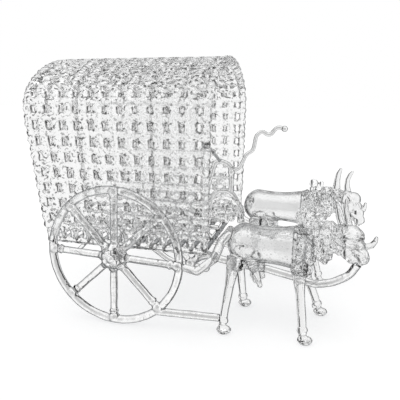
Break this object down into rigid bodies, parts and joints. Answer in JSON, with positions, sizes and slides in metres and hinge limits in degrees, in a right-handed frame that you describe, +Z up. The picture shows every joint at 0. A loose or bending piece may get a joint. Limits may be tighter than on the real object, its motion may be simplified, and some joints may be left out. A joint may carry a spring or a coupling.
{
  "type": "glass bullock cart ornament",
  "caption": "Clear glass ornament of a covered bullock cart: spoked wheels and a lattice canopy, drawn by a pair of glass bullocks under a yoke.",
  "frame": {"origin": "on the standing surface, under the middle of the axle", "axes": "+X the way the cart drives, +Y to the cart's left, +Z up"},
  "size_m": [0.1918, 0.134, 0.1488],
  "materials": {
    "clear_glass": "solid drawn rods, fire polished",
    "lattice_glass": "rods fused closely at beaded crossings",
    "blown_glass": "thin-walled, blown, fire polished",
    "textured_glass": "rod wound on in beads"
  },
  "bodies": {
    "root": {"axle": "clear_glass", "bullock_belly_drops_left": "clear_glass", "bullock_belly_drops_right": "clear_glass", "bullock_body_left": "blown_glass", "bullock_body_right": "blown_glass", "bullock_ears_left": "clear_glass", "bullock_ears_right": "clear_glass", "bullock_front_legs_left": "clear_glass", "bullock_front_legs_right": "clear_glass", "bullock_garland_left": "textured_glass", "bullock_garland_right": "textured_glass", "bullock_head_left": "clear_glass", "bullock_head_right": "clear_glass", "bullock_horns_left": "clear_glass", "bullock_horns_right": "clear_glass", "bullock_neck_left": "textured_glass", "bullock_neck_right": "textured_glass", "bullock_rear_legs_left": "clear_glass", "bullock_rear_legs_right": "clear_glass", "bullock_tail_left": "clear_glass", "bullock_tail_right": "clear_glass", "canopy_hoops": "lattice_glass", "floor_cross_rods": "clear_glass", "floor_stringers": "clear_glass", "front_arch": "lattice_glass", "rear_arch": "lattice_glass", "rear_peg_left": "clear_glass", "rear_peg_right": "clear_glass", "roof_rails_1": "lattice_glass", "roof_rails_2": "lattice_glass", "roof_rails_3": "lattice_glass", "roof_rails_4": "lattice_glass", "roof_rails_5": "lattice_glass", "seat": "textured_glass", "seat_arch": "clear_glass", "seat_back_loop": "clear_glass", "seat_crossbar": "clear_glass", "seat_post": "clear_glass", "seat_stay": "clear_glass", "shaft_bracket_left": "clear_glass", "shaft_bracket_right": "clear_glass", "shaft_left": "clear_glass", "shaft_right": "clear_glass", "sill_left": "clear_glass", "sill_right": "clear_glass", "tie_rod_left": "clear_glass", "tie_rod_right": "clear_glass", "under_brace_left": "clear_glass", "under_brace_right": "clear_glass", "wall_rails_left": "lattice_glass", "wall_rails_right": "lattice_glass", "wheel_hub_left": "clear_glass", "wheel_hub_right": "clear_glass", "wheel_rim_left": "clear_glass", "wheel_rim_right": "clear_glass", "wheel_spokes_left": "clear_glass", "wheel_spokes_right": "clear_glass", "whip": "clear_glass", "yoke": "textured_glass"}
  },
  "joints": []
}
